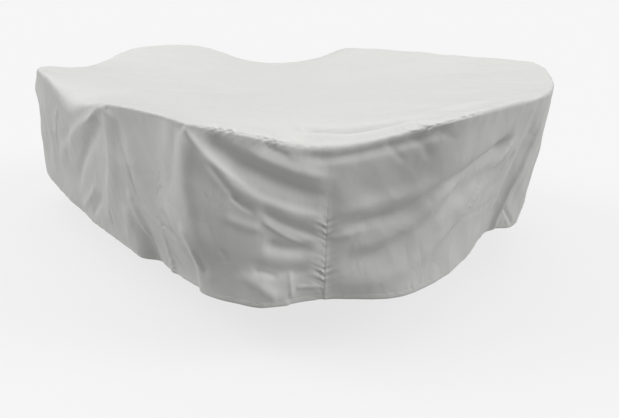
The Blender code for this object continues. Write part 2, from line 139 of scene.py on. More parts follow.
SKIRT_FOLDS = (
    # Left of the left post.
    Fold("left post, ridge line", ((-1.00, 0.01), (-1.09, 0.04), (-1.22, 0.08), (-1.35, 0.12),
         (-1.50, 0.17)), 0.009, 0.020, swells=0.02, dies=0.5, profile=Profile.CRISP),
    Fold("left post, ridge", ((-1.04, 0.03), (-1.22, 0.08), (-1.42, 0.14), (-1.66, 0.27),
         (-1.84, 0.51), (-1.98, 0.76)), 0.012, 0.048, lean=-0.3, swells=0.1),
    Fold("left post, valley", ((-1.08, 0.09), (-1.18, 0.14), (-1.36, 0.26), (-1.49, 0.38),
         (-1.64, 0.56), (-1.80, 0.82)), -0.011, 0.042, swells=0.1),
    Fold("left chair, pocket", ((-1.70, 0.22), (-1.77, 0.37), (-1.84, 0.65)), -0.007, 0.040),
    Fold("left chair, thin line", ((-1.84, 0.14), (-1.93, 0.40), (-1.97, 0.70)), 0.006, 0.014,
         profile=Profile.CRISP),
    Fold("left chair, ridge", ((-2.60, 0.06), (-2.20, 0.28), (-2.04, 0.46), (-2.13, 0.84)), 0.014, 0.060),
    Fold("left chair, broad swell", ((-2.45, 0.10), (-2.36, 0.40), (-2.34, 0.88)), 0.008, 0.080),
    Fold("left chair, hem ridge", ((-1.36, 0.60), (-1.55, 0.78), (-1.76, 0.96)), 0.007, 0.030),
    Fold("left chair, hem trough", ((-1.30, 0.66), (-1.44, 0.82), (-1.58, 0.98)), -0.005, 0.026),
    # Between the two front posts.
    Fold("left post, hanging ridge", ((-1.00, 0.02), (-1.05, 0.20), (-1.11, 0.42), (-1.20, 0.62),
         (-1.27, 0.90)), 0.011, 0.060, lean=-0.2, swells=0.04),
    Fold("left post, hem line", ((-1.22, 0.70), (-1.24, 0.80), (-1.25, 0.92)), -0.004, 0.012),
    Fold("front, hem swell", ((-1.02, 0.62), (-1.05, 0.80), (-1.10, 0.97)), 0.006, 0.035),
    Fold("front, long drag line", ((-0.97, 0.12), (-0.89, 0.36), (-0.85, 0.52), (-0.71, 0.60),
         (-0.55, 0.70), (-0.53, 0.84)), -0.004, 0.014),
    Fold("front, long drag swell", ((-0.92, 0.08), (-0.80, 0.36), (-0.66, 0.54), (-0.50, 0.66)),
         0.009, 0.045),
    Fold("front, low turn-in", ((-1.02, 1.06), (-0.66, 1.00), (-0.24, 1.06)), -0.070, 0.200, swells=0.3),
    Fold("front, short swell", ((-0.98, 0.50), (-0.92, 0.66), (-0.80, 0.84)), 0.008, 0.035),
    Fold("front seam, trough beside it", ((-0.64, 0.50), (-0.56, 0.68), (-0.47, 0.88)),
         -0.009, 0.016, dies=0.6),
    Fold("front seam, ridge beside it", ((-0.53, 0.54), (-0.49, 0.68), (-0.44, 0.86)),
         0.009, 0.018, dies=0.6),
    Fold("front seam, second trough", ((-0.48, 0.70), (-0.44, 0.78), (-0.41, 0.88)), -0.008, 0.014),
    Fold("right post, left shadow", ((-0.53, 0.02), (-0.56, 0.20), (-0.58, 0.44)),
         -0.005, 0.030, swells=0.05),
    Fold("right post, hanging swell", ((-0.48, 0.04), (-0.49, 0.26), (-0.47, 0.52), (-0.42, 0.80)),
         0.010, 0.040, swells=0.1),
    # From the right post to the corner seam.
    Fold("right post, ridge line", ((-0.49, 0.03), (-0.45, 0.09), (-0.40, 0.17), (-0.33, 0.25),
         (-0.25, 0.31)), 0.012, 0.017, swells=0.02, dies=0.5, profile=Profile.CRISP),
    Fold("right post, main ridge", ((-0.48, 0.075), (-0.42, 0.175), (-0.35, 0.265), (-0.26, 0.335),
         (-0.12, 0.39), (0.01, 0.43)), 0.011, 0.030, lean=0.35, swells=0.12, dies=0.85),
    Fold("right post, deep trough", ((-0.43, 0.05), (-0.35, 0.125), (-0.27, 0.185), (-0.15, 0.23),
         (0.04, 0.32)), -0.018, 0.034, lean=0.2, swells=0.10),
    Fold("corner, upper band", ((-0.31, 0.085), (-0.20, 0.125), (-0.06, 0.16), (0.05, 0.185)),
         0.009, 0.024),
    Fold("corner, upper dent", ((-0.24, 0.04), (-0.19, 0.055), (-0.13, 0.08)), -0.005, 0.014),
    Fold("corner, fine line", ((-0.42, 0.17), (-0.36, 0.29), (-0.29, 0.42)), -0.005, 0.010),
    Fold("corner, pocket", ((-0.35, 0.34), (-0.31, 0.385), (-0.26, 0.43)), -0.008, 0.014, lean=-0.4),
    Fold("corner, pocket ridge", ((-0.38, 0.46), (-0.30, 0.505), (-0.22, 0.515)), 0.006, 0.020),
    Fold("corner, upper drag trough", ((-0.26, 0.39), (-0.14, 0.48), (0.02, 0.585)),
         -0.010, 0.022, lean=-0.3),
    Fold("corner, drag line", ((-0.25, 0.45), (-0.17, 0.525), (-0.06, 0.61)),
         0.006, 0.012, profile=Profile.CRISP),
    Fold("corner, lower drag trough", ((-0.24, 0.60), (-0.14, 0.63), (-0.03, 0.62)), -0.012, 0.026),
    Fold("corner, lower drag ridge", ((-0.28, 0.64), (-0.14, 0.69), (0.02, 0.70)), 0.004, 0.030),
    Fold("corner, small curl", ((-0.385, 0.66), (-0.362, 0.70), (-0.36, 0.76)), -0.005, 0.009),
    Fold("corner, low drag trough", ((-0.30, 0.72), (-0.16, 0.78), (-0.02, 0.765)), -0.007, 0.024),
    Fold("corner, hem swell", ((-0.34, 0.80), (-0.24, 0.87), (-0.16, 0.97)), 0.009, 0.026),
    Fold("corner, hem line", ((-0.28, 0.77), (-0.22, 0.79), (-0.17, 0.82)), -0.006, 0.012),
    Fold("corner, hem tuck edge", ((-0.135, 0.76), (-0.125, 0.86), (-0.12, 0.97)),
         0.006, 0.012, profile=Profile.CRISP),
    Fold("corner, hem tuck", ((-0.13, 1.02), (-0.07, 1.00), (0.01, 0.99)),
         -0.006, 0.050, swells=0.05, dies=0.9),
    Fold("corner, hem tuck line", ((-0.11, 0.885), (-0.06, 0.885), (0.0, 0.90)),
         0.006, 0.012, profile=Profile.CRISP),
    Fold("corner seam, gathered", ((0.00, 0.10), (0.01, 0.50), (0.01, 0.96)), -0.006, 0.026),
    # The right end.
    Fold("right end, under the roll", ((-0.14, 0.065), (0.06, 0.055), (0.25, 0.05), (0.46, 0.045)),
         -0.013, 0.022, dies=0.8),
    Fold("roll, first pucker", ((0.20, 0.02), (0.23, 0.10), (0.27, 0.17)), -0.003, 0.012, swells=0.05),
    Fold("roll, second pucker", ((0.28, 0.02), (0.33, 0.10), (0.36, 0.20)), -0.006, 0.016, swells=0.05),
    Fold("roll, third pucker", ((0.37, 0.02), (0.41, 0.08), (0.47, 0.13)), -0.003, 0.014, swells=0.05),
    Fold("right end, first ridge", ((0.01, 0.445), (0.12, 0.38), (0.27, 0.365), (0.42, 0.335)),
         0.011, 0.034),
    Fold("right end, first trough", ((0.01, 0.515), (0.10, 0.49), (0.24, 0.465), (0.39, 0.40),
         (0.55, 0.355), (0.72, 0.305), (0.92, 0.235)), -0.022, 0.028, dies=0.85),
    Fold("right end, crossing", ((0.00, 0.575), (0.06, 0.55), (0.14, 0.52)), 0.006, 0.018),
    Fold("right end, second ridge", ((0.05, 0.675), (0.24, 0.585), (0.45, 0.505), (0.66, 0.395)),
         0.011, 0.034),
    Fold("right end, broad trough", ((0.02, 0.78), (0.15, 0.71), (0.28, 0.615), (0.45, 0.53),
         (0.62, 0.455), (0.89, 0.37)), -0.018, 0.040, dies=0.85),
    Fold("right end, low swell", ((0.02, 0.91), (0.20, 0.85), (0.40, 0.77), (0.58, 0.67)), 0.010, 0.045),
    Fold("right end, flaring hem", ((0.02, 1.24), (0.34, 1.20), (0.74, 1.18), (1.02, 1.24)),
         0.060, 0.260, swells=0.2, dies=0.5),
    Fold("right end, dark side", ((0.90, 0.21), (0.73, 0.30), (0.57, 0.43), (0.44, 0.58)),
         -0.021, 0.032, swells=0.25),
    Fold("right end, bright line", ((0.95, 0.23), (0.80, 0.355), (0.65, 0.51), (0.52, 0.67),
         (0.43, 0.77)), 0.027, 0.016, swells=0.3, profile=Profile.CRISP),
    Fold("right end, short line", ((0.98, 0.26), (0.93, 0.42), (0.85, 0.57)),
         0.006, 0.014, swells=0.35, profile=Profile.CRISP),
    Fold("right end, between lines", ((0.97, 0.34), (0.89, 0.48), (0.79, 0.60)), -0.009, 0.022),
    Fold("right end, faint line", ((0.96, 0.66), (0.78, 0.68), (0.58, 0.65)), -0.003, 0.012),
    Fold("right end, post trough", ((1.13, 0.05), (1.06, 0.36), (1.00, 0.60), (0.97, 0.88)),
         -0.010, 0.032, swells=0.25, dies=0.85),
    Fold("right end, post ridge", ((1.22, 0.06), (1.15, 0.40), (1.08, 0.66), (1.05, 0.85), (1.07, 1.02)),
         0.020, 0.030, swells=0.25, dies=0.95),
    Fold("right end, post ridge line", ((1.20, 0.05), (1.12, 0.42), (1.06, 0.67), (1.04, 0.88)),
         0.008, 0.010, swells=0.35, profile=Profile.CRISP),
    Fold("right end, second post trough", ((1.31, 0.26), (1.25, 0.56), (1.17, 0.94)),
         -0.009, 0.030, swells=0.3),
    Fold("right end, far ridge", ((1.44, 0.30), (1.40, 0.60), (1.33, 0.97)), 0.010, 0.035, swells=0.3),
    Fold("right end, hem folds", ((1.08, 0.78), (1.18, 0.88), (1.30, 1.00)), -0.008, 0.014),
    # The sides away from the view.
    Fold("back right corner, trough", ((1.70, 0.14), (1.74, 0.55), (1.72, 1.00)), -0.022, 0.070, dies=0.9),
    Fold("back right corner, ridge", ((1.88, 0.06), (1.92, 0.50), (1.90, 0.96)), 0.014, 0.060),
    Fold("back, right post drag", ((2.05, 0.02), (2.22, 0.26), (2.46, 0.62)), 0.016, 0.050, swells=0.05),
    Fold("back, right post trough", ((2.09, 0.10), (2.30, 0.46), (2.50, 0.84)), -0.014, 0.050),
    Fold("back, middle post drag", ((2.69, 0.02), (2.62, 0.30), (2.50, 0.70)), 0.014, 0.045, swells=0.05),
    Fold("back, trough between chairs", ((2.86, 0.06), (2.86, 0.55), (2.84, 1.00)),
         -0.024, 0.075, dies=0.9),
    Fold("back, left chair drag", ((3.03, 0.02), (3.14, 0.32), (3.30, 0.74)), 0.015, 0.045, swells=0.05),
    Fold("back, left chair trough", ((3.08, 0.16), (3.22, 0.50), (3.34, 0.90)), -0.012, 0.045),
    Fold("back, left chair ridge", ((3.58, 0.02), (3.48, 0.42), (3.50, 0.96)), 0.018, 0.060, swells=0.05),
    Fold("far corner, drag ridge", ((3.60, 0.04), (3.90, 0.26), (4.20, 0.42), (4.46, 0.50)), 0.022, 0.060),
    Fold("far corner, deep trough", ((3.66, 0.02), (3.98, 0.16), (4.40, 0.28)), -0.018, 0.050, swells=0.1),
    Fold("far corner, drag trough", ((3.70, 0.34), (4.10, 0.60), (4.46, 0.70)), -0.018, 0.060),
    Fold("far corner, low ridge", ((3.80, 0.62), (4.12, 0.78), (4.44, 0.84)), 0.012, 0.050),
    Fold("far corner seam, gathered", ((4.42, 0.10), (4.43, 0.50), (4.43, 0.98)), -0.010, 0.035),
    Fold("left end, first drag", ((4.44, 0.50), (4.70, 0.40), (4.96, 0.16)), 0.016, 0.050),
    Fold("left end, second drag", ((4.46, 0.68), (4.72, 0.56), (4.98, 0.34)), -0.016, 0.055),
    Fold("left end, post ridge", ((4.99, 0.04), (4.98, 0.42), (5.04, 0.96)), 0.018, 0.050, swells=0.05),
    Fold("left end, middle trough", ((-3.82, 0.12), (-3.78, 0.55), (-3.82, 0.98)), -0.016, 0.070),
    Fold("left end, front post ridge", ((-3.54, 0.03), (-3.50, 0.40), (-3.44, 0.94)),
         0.018, 0.050, swells=0.05),
    Fold("left end, trough", ((-3.20, 0.12), (-3.22, 0.55), (-3.28, 0.98)), -0.020, 0.080),
    Fold("left end, front ridge", ((-2.86, 0.08), (-2.80, 0.50), (-2.76, 0.94)), 0.018, 0.070),
)

TOP_FOLDS = (
    Fold("gutter inside the roll", ((1.04, -0.67), (1.16, -0.63), (1.26, -0.52), (1.35, -0.40),
         (1.46, -0.27)), -0.052, 0.027),
    Fold("roll at the right end", ((1.14, -0.78), (1.22, -0.69), (1.31, -0.58), (1.40, -0.44),
         (1.49, -0.32)), 0.022, 0.028),
    Fold("roll, fine line", ((1.18, -0.66), (1.30, -0.54), (1.40, -0.40)), -0.002, 0.009),
    Fold("inside the end chair", ((1.38, -0.22), (1.44, 0.00), (1.42, 0.24)), -0.010, 0.050),
    Fold("end chair, line", ((1.30, -0.28), (1.34, -0.10), (1.48, 0.30)),
         0.004, 0.012, profile=Profile.CRISP),
    Fold("end chair, long line", ((1.00, -0.10), (1.14, 0.00), (1.28, 0.12)), 0.003, 0.016),
    Fold("end chair, patch", ((1.39, 0.55), (1.28, 0.57), (1.14, 0.58)), -0.004, 0.030),
    Fold("right post, spread", ((1.05, -1.05), (0.80, -0.80), (0.55, -0.52), (0.10, -0.20)), 0.010, 0.090),
    Fold("right post, wrinkle", ((1.06, -1.08), (1.09, -0.98), (1.13, -0.86)),
         -0.012, 0.014, swells=0.05),
    Fold("right post, second wrinkle", ((1.00, -1.05), (1.04, -0.94), (1.12, -0.80)), 0.010, 0.014),
    Fold("right post, third wrinkle", ((1.10, -1.00), (1.15, -0.90), (1.19, -0.80)), -0.008, 0.013),
    Fold("middle, short line", ((0.37, -0.40), (0.34, -0.26), (0.32, -0.12)), -0.003, 0.014),
    Fold("middle, soft band", ((-0.23, -0.82), (0.00, -0.56), (0.24, -0.34)), -0.006, 0.060),
    Fold("across the middle", ((0.45, -0.35), (-0.10, -0.36), (-0.60, -0.30)), -0.007, 0.110),
    Fold("back, valley", ((-0.80, 0.44), (-0.76, 0.74), (-0.74, 1.02)), -0.010, 0.060),
    Fold("to the far corner", ((-1.10, 0.62), (-0.80, 0.40), (-0.45, 0.15)), -0.012, 0.100),
    Fold("left end, spread", ((-1.42, -0.30), (-1.05, -0.22), (-0.60, 0.00)), 0.006, 0.070),
)


def smooth_step(value: np.ndarray, low: float, high: float) -> np.ndarray:
    """Rise softly from 0 below low to 1 above high.

    Args:
        value: Where to evaluate it.
        low: End of the part at 0.
        high: Start of the part at 1.

    Returns:
        The eased values.
    """
    t = np.clip((value - low) / (high - low), 0, 1)
    return t * t * (3 - 2 * t)


def short_way(distance: np.ndarray, around: float) -> np.ndarray:
    """The short way round a closed line of some length, backwards if negative."""
    return np.mod(distance + around / 2, around) - around / 2


def bell(distance: np.ndarray, reach: float) -> np.ndarray:
    """Fall from 1 at no distance to nearly 0 past twice the reach."""
    return np.exp(-(distance / reach) ** 2)


def bowed(start: np.ndarray, turn: np.ndarray, end: np.ndarray, t: np.ndarray) -> np.ndarray:
    """Follow a bow from start to end that leans towards turn.

    Args:
        start: The first point.
        turn: The point that it leans towards.
        end: The last point.
        t: Parts of the way along it.

    Returns:
        The points at t.
    """
    return (1 - t) ** 2 * start + 2 * t * (1 - t) * turn + t ** 2 * end


def hermite(first: np.ndarray, last: np.ndarray, leave: np.ndarray, arrive: np.ndarray,
            t: np.ndarray) -> np.ndarray:
    """Join two values by a cubic.

    Args:
        first: Value at t = 0.
        last: Value at t = 1.
        leave: Slope at t = 0.
        arrive: Slope at t = 1.
        t: Parts of the way between them.

    Returns:
        The values at t.
    """
    return (first * (1 + 2 * t) * (1 - t) ** 2 + leave * t * (1 - t) ** 2
            + last * t ** 2 * (3 - 2 * t) + arrive * t ** 2 * (t - 1))


def closed_curve(values: np.ndarray, lengths: np.ndarray, at: np.ndarray,
                 ease: np.ndarray) -> np.ndarray:
    """Interpolate a closed curve smoothly.

    Args:
        values: One row for each station.
        lengths: Distance from each row to the next.
        at: Distances round the curve.
        ease: Share of each station's slope that is kept, less where the curve has a corner.

    Returns:
        The values there.
    """
    before = np.roll(lengths, 1)[:, None]
    after = lengths[:, None]
    slope_before = (values - np.roll(values, 1, axis=0)) / before
    slope_after = (np.roll(values, -1, axis=0) - values) / after
    tangent = ease * (slope_after * before + slope_before * after) / (before + after)
    starts = np.concatenate([[0.0], np.cumsum(lengths)])
    at = np.mod(at, starts[-1])
    row = np.clip(np.searchsorted(starts, at, side="right") - 1, 0, len(lengths) - 1)
    following = (row + 1) % len(lengths)
    span = lengths[row][..., None]
    t = ((at - starts[row]) / lengths[row])[..., None]
    return hermite(values[row], values[following], tangent[row] * span,
                   tangent[following] * span, t)


def open_curve(places: np.ndarray, steps: int) -> np.ndarray:
    """Draw a smooth line through a few places.

    Args:
        places: Two or more points, one a row.
        steps: Straight steps between each two of them.

    Returns:
        The points of the line.
    """
    slopes = np.gradient(places, axis=0)
    t = np.linspace(0, 1, steps, endpoint=False)[:, None]
    parts = [hermite(places[i], places[i + 1], slopes[i], slopes[i + 1], t)
             for i in range(len(places) - 1)]
    return np.concatenate(parts + [places[-1:]])


@dataclass(frozen=True)
class FoldField:
    """How far a table of folds pushes the cloth.

    Attributes:
        folds: The table.
        scale: What turns the table's places into metres.
        around: Length of the closed rim that the first coordinate follows, or 0 on the top.
        steps: Straight steps between two places of a fold.
        reach: Widths from a fold's line beyond which it does nothing.
        crisp_tip: Widths over which the line of a crisp ridge is rounded.
        crisp_fall: How steeply a crisp ridge falls away from its line.
    """

    folds: tuple[Fold, ...]
    scale: tuple[float, float]
    around: float = 0.0
    steps: int = 6
    reach: float = 3.2
    crisp_tip: float = 0.2
    crisp_fall: float = 1.6

    def push(self, x: np.ndarray, y: np.ndarray) -> np.ndarray:
        """Add up the folds at some places.

        Args:
            x: First coordinate, in metres.
            y: Second coordinate, in metres.

        Returns:
            The push at each place, in metres.
        """
        total = np.zeros(x.shape)
        for fold in self.folds:
            line = open_curve(np.array(fold.places) * self.scale, self.steps)
            middle = (line[:, 0].min() + line[:, 0].max()) / 2
            near_x = x
            if self.around:
                near_x = middle + short_way(x - middle, self.around)
            margin = fold.width * (1 + abs(fold.lean)) * self.reach
            inside = ((near_x > line[:, 0].min() - margin) & (near_x < line[:, 0].max() + margin)
                      & (y > line[:, 1].min() - margin) & (y < line[:, 1].max() + margin))
            if inside.any():
                total[inside] += self.section(fold, line, near_x[inside], y[inside])
        return total

    def section(self, fold: Fold, line: np.ndarray, x: np.ndarray, y: np.ndarray) -> np.ndarray:
        """Work out one fold's push near its line.

        Args:
            fold: The fold.
            line: The points of its line.
            x: First coordinate, in metres.
            y: Second coordinate, in metres.

        Returns:
            The push at each place, in metres.
        """
        best = np.full(x.shape, np.inf)
        place = np.zeros(x.shape)
        side = np.ones(x.shape)
        runs = np.diff(line, axis=0)
        ends = np.concatenate([[0], np.cumsum(np.hypot(runs[:, 0], runs[:, 1]))])
        for step, (run_x, run_y) in enumerate(runs):
            off_x, off_y = x - line[step, 0], y - line[step, 1]
            part = np.clip((off_x * run_x + off_y * run_y) / (run_x ** 2 + run_y ** 2), 0, 1)
            gap = np.hypot(off_x - part * run_x, off_y - part * run_y)
            nearer = gap < best
            along = (ends[step] + part * (ends[step + 1] - ends[step])) / ends[-1]
            place = np.where(nearer, along, place)
            side = np.where(nearer, np.sign(run_x * off_y - run_y * off_x), side)
            best = np.minimum(gap, best)
        q = best / (fold.width * (1 + fold.lean * side))
        if fold.profile is Profile.CRISP:
            shape = np.exp(self.crisp_fall * (self.crisp_tip - np.hypot(q, self.crisp_tip)))
        else:
            shape = np.exp(-q * q)
        swell = smooth_step(place, 0, fold.swells) * (1 - smooth_step(place, fold.dies, 1))
        return fold.rise * swell * shape


@dataclass(frozen=True)
class Ripples:
    """Uneven cloth: waves in every direction through space, bent by slower ones.

    Attributes:
        wave: Typical length of a wave, in metres.
        rise: Typical height of the sum, in metres.
        seed: Starts the random directions.
        count: Number of waves.
        creased: Whether the waves fold into lines.
    """

    wave: float
    rise: float
    seed: int
    count: int = 14
    creased: bool = False

    BENDS = 3                  # slower waves that bend the others
    BEND_STRETCH = 3.1         # their length, in waves
    QUICKNESS = (0.6, 1.5)     # how much quicker or slower the waves are than the typical one

    def push(self, points: np.ndarray) -> np.ndarray:
        """Evaluate the waves.

        Args:
            points: Places in space.

        Returns:
            The push at each place, in metres.
        """
        rng = np.random.default_rng(self.seed)
        total = np.zeros(points.shape[:-1])
        bend = np.zeros(points.shape[:-1])
        for _ in range(self.BENDS):
            way = rng.normal(size=3)
            way *= TAU / (self.wave * self.BEND_STRETCH) / np.linalg.norm(way)
            bend += np.sin(points @ way + rng.uniform(0, TAU))
        for _ in range(self.count):
            way = rng.normal(size=3)
            way *= TAU / self.wave * rng.uniform(*self.QUICKNESS) / np.linalg.norm(way)
            wave = np.sin(points @ way + bend + rng.uniform(0, TAU))
            total += 1 - 2 * np.abs(wave) if self.creased else wave
        return total * self.rise / math.sqrt(self.count)


@dataclass(frozen=True)
class Gathers:
    """Small puckers that a row of stitching draws up beside itself.

    Attributes:
        wave: Typical spacing of the puckers, in metres.
        rise: Their height, in metres.
        reach: How far from the stitching they die away, in metres.
        slant: How far they lean along the seam for each metre away from it.
        seed: Starts the random phases.
    """

    wave: float
    rise: float
    reach: float
    slant: float
    seed: int

    STRETCHES = (0.62, 0.85, 1.0, 1.35, 2.1)   # lengths of the waves, in spacings
    LEANS = (0.4, 1.4)         # how much more or less each of them slants
    CROSSING = 0.3             # part of the reach over which the two sides agree
    LULL = 0.35                # how much the puckers weaken here and there
    LULL_LENGTH = 7.3          # and how far apart, in spacings
    SUM_HEIGHT = 1.6           # typical height of the waves' sum
    FALL = 1.3                 # power by which the puckers die away

    def push(self, along: np.ndarray, across: np.ndarray) -> np.ndarray:
        """Evaluate the puckers.

        Args:
            along: Distance along the stitching, in metres.
            across: Signed distance from it, in metres.

        Returns:
            The push, in metres.
        """
        rng = np.random.default_rng(self.seed)
        away = np.abs(across)
        total = np.zeros(along.shape)
        for stretch in self.STRETCHES:
            left, right = rng.uniform(0, TAU, 2)
            phase = np.where(across < 0, left, right)
            phase = phase + (right - phase) * bell(away, self.CROSSING * self.reach)
            lean = self.slant * away * rng.uniform(*self.LEANS)
            total += np.sin((along + lean) * TAU / (self.wave * stretch) + phase)
        lull = np.sin(along * TAU / (self.LULL_LENGTH * self.wave) + rng.uniform(0, TAU))
        fade = np.exp(-(away / self.reach) ** self.FALL)
        return total * (1 - self.LULL + self.LULL * lull) * fade * self.rise / self.SUM_HEIGHT


@dataclass(frozen=True)
class Sewing:
    """How the seams and the hem shape the cloth beside them."""

    groove: float = 0.0007         # depth of the line of a seam
    groove_width: float = 0.0030
    fell: float = 0.0006           # step of the seam allowance that is stitched down
    fell_from: float = 0.0020
    fell_to: float = 0.0120
    fell_soft: float = 0.0015      # over which the step rises and falls
    hem_height: float = 0.026      # of the hem's stitching above its edge
    hem_groove: float = 0.0006
    hem_roll: float = 0.0030       # how far the very edge of the hem turns in
    hem_roll_height: float = 0.010
    corner: Gathers = Gathers(wave=0.028, rise=0.0032, reach=0.030, slant=0.7, seed=5)
    plain: Gathers = Gathers(wave=0.026, rise=0.0013, reach=0.020, slant=0.6, seed=6)
    rim: Gathers = Gathers(wave=0.046, rise=0.0006, reach=0.022, slant=0.5, seed=7)
    rim_tight: Gathers = Gathers(wave=0.030, rise=0.0052, reach=0.036, slant=1.1, seed=11)
    hem: Gathers = Gathers(wave=0.055, rise=0.0006, reach=0.024, slant=0.3, seed=12)

    def seam(self, across: np.ndarray) -> np.ndarray:
        """Section across a felled seam.

        Args:
            across: Signed distance from its line, in metres.

        Returns:
            The push, in metres.
        """
        soft = self.fell_soft
        band = (smooth_step(across, self.fell_from - soft, self.fell_from + soft)
                * (1 - smooth_step(across, self.fell_to - soft, self.fell_to + soft)))
        return self.fell * band - self.groove * bell(across, self.groove_width)

    def hem_edge(self, above: np.ndarray) -> np.ndarray:
        """Section of the hem.

        Args:
            above: Height above the hem's edge, in metres.

        Returns:
            The push, in metres.
        """
        line = bell(above - self.hem_height, self.groove_width)
        roll = 1 - smooth_step(above, 0.0, self.hem_roll_height)
        return -self.hem_groove * line - self.hem_roll * roll ** 2


@dataclass(frozen=True)
class Places:
    """Places of the cloth, each with what its column runs between.

    Attributes:
        along: Distances round the rim.
        row: 0 at the middle of the top, 1 to 2 over the rounded edge, 3 at the hem.
        rim: Points of the rim.
        hem: Points of the hem.
        radius: Radii of the rounded edge.
    """

    along: np.ndarray
    row: np.ndarray
    rim: np.ndarray
    hem: np.ndarray
    radius: np.ndarray

    @property
    def drop(self) -> np.ndarray:
        """Lengths of the columns from the rounded edge's end to the hem."""
        return np.linalg.norm(self.hem - self.rim, axis=-1) - self.radius


class Surface:
    """The middle surface of the cover, from the middle of its top to its hem."""

    BASIN_POWER = 1.8          # how the top rises from its middle to the rim
    RIM_WAVES = 36             # waves of the rim's height that the stretched top follows
    FOLD_FADE = 0.025          # part of the skirt below the rim over which its folds begin
    CREASE_FADE = 40           # power by which the top's creases die away just inside the rim
    SEAM_HOLD = 0.10           # how much a skirt seam flattens the folds that cross it
    SEAM_REACH = 0.018         # how far from the seam that holds
    EDGE_ARC = 0.75            # half of the way over the rounded edge, in radii
    TOP_CRUMPLE = 0.4          # share of the skirt's crumpling that the top has
    CORNER_REACH = 0.12        # how far from a corner seam the gathers are a corner's
    SEWN_FROM = 0.03           # distance below the rim where the skirt's seams are whole
    GATHERED = (0.12, 0.34)    # distances below the rim between which they begin to gather
    UPPER_SEAM = 0.1           # strength of a skirt seam above that
    RIM_SEAM = (0.1, 2.2)      # strength of the rim's seam, and what the tight places add
    TIGHT_PLACES = ((-0.30, 1.0), (0.42, 0.8))     # (distance round the rim, how tight)
    TIGHT_REACH = 0.14

    def __init__(self) -> None:
        """Read the stations."""
        self.table = np.array([[s.rim_x, s.rim_y, s.rim_z - MIDDLE_HEIGHT, s.hem_x, s.hem_y,
                                s.hem_z - MIDDLE_HEIGHT, s.radius] for s in STATIONS])
        self.ease = np.ones(self.table.shape)
        self.ease[:, 2] = [s.ease for s in STATIONS]
        steps = np.roll(self.table[:, :2], -1, axis=0) - self.table[:, :2]
        self.lengths = np.hypot(steps[:, 0], steps[:, 1])
        self.around = float(self.lengths.sum())
        count = 4 * self.RIM_WAVES
        rim_height = self.stations_at(np.arange(count) * self.around / count)[:, 2]
        self.rim_waves = np.fft.rfft(rim_height) / count
        self.seams = self.places_of("seam")
        self.corner_seams = self.places_of("corner seam")
        self.skirt_folds = FoldField(SKIRT_FOLDS, (1.0, SKIRT_DROP), self.around)
        self.top_folds = FoldField(TOP_FOLDS, (1.0, 1.0))
        self.sewing = Sewing()
        self.slack = Ripples(wave=0.33, rise=0.0030, seed=3)
        self.crumple = Ripples(wave=0.24, rise=0.0016, seed=14, count=6, creased=True)

    def places_of(self, ending: str) -> list[float]:
        """Distances round the rim to the stations whose place ends so."""
        return [float(self.lengths[:row].sum()) for row, station in enumerate(STATIONS)
                if station.place.endswith(ending)]

    def stations_at(self, along: np.ndarray) -> np.ndarray:
        """What the stations' table gives between its rows, at distances round the rim."""
        return closed_curve(self.table, self.lengths, along, self.ease)

    def seam_gap(self, along: np.ndarray) -> np.ndarray:
        """Signed distance round the rim from the nearest skirt seam.

        Args:
            along: Distances round the rim.

        Returns:
            The gaps, in metres.
        """
        gaps = np.stack([short_way(along - seam, self.around) for seam in self.seams])
        nearest = np.abs(gaps).argmin(axis=0)
        return np.take_along_axis(gaps, nearest[None], axis=0)[0]

    def stretched(self, along: np.ndarray, part: np.ndarray) -> np.ndarray:
        """Height of cloth stretched across the rim.

        Args:
            along: Distances round the rim.
            part: Parts of the way from the middle of the top to the rim.

        Returns:
            The heights: each wave of the rim dies away inwards, a shorter one sooner.
        """
        height = self.rim_waves[0].real * part ** self.BASIN_POWER
        for wave in range(1, self.RIM_WAVES + 1):
            turn = np.exp(1j * TAU * along / self.around * wave)
            height = height + 2 * (self.rim_waves[wave] * turn).real * part ** wave
        return height

    def point(self, along: np.ndarray, row: np.ndarray) -> np.ndarray:
        """Place columns and rows of the cloth in space.

        Args:
            along: Distances round the rim.
            row: 0 at the middle of the top, 1 to 2 over the rounded edge, 3 at the hem.

        Returns:
            The points.
        """
        along, row = np.broadcast_arrays(along, row)
        values = self.stations_at(along)
        rim, hem, radius = values[..., 0:3], values[..., 3:6], values[..., 6]
        turn = self.stations_at(along + PROBE)[..., 0:2] - rim[..., 0:2]
        turn = turn / np.linalg.norm(turn, axis=-1, keepdims=True)
        outward = np.stack([turn[..., 1], -turn[..., 0], np.zeros(along.shape)], axis=-1)
        part = (1 - radius / np.linalg.norm(rim[..., :2], axis=-1)) * np.clip(row, 0, EDGE_START)
        top = rim * part[..., None]
        creases = self.top_folds.push(top[..., 0], top[..., 1])
        top[..., 2] = self.stretched(along, part) + creases * (1 - part ** self.CREASE_FADE)
        edge_down = radius / np.linalg.norm(hem - rim, axis=-1)
        down = edge_down + (1 - edge_down) * np.clip(row - EDGE_END, 0, 1)
        folds = self.skirt_folds.push(along, down * SKIRT_DROP) * smooth_step(down, 0, self.FOLD_FADE)
        folds = folds * (1 - self.SEAM_HOLD * bell(self.seam_gap(along), self.SEAM_REACH))
        skirt = rim + (hem - rim) * down[..., None] + outward * folds[..., None]
        edge = np.clip(row - EDGE_START, 0, 1)
        point = bowed(top, rim, skirt, edge[..., None])
        facing = outward * edge[..., None] + np.array([0.0, 0.0, 1.0]) * (1 - edge[..., None])
        loose = self.slack.push(point) * np.where(row > EDGE_START, 1.0, part ** 2)
        loose = loose + self.crumple.push(point) * (self.TOP_CRUMPLE + (1 - self.TOP_CRUMPLE) * edge)
        loose = loose + self.sewn(Places(along, row, rim, hem, radius))
        return point + facing * loose[..., None]

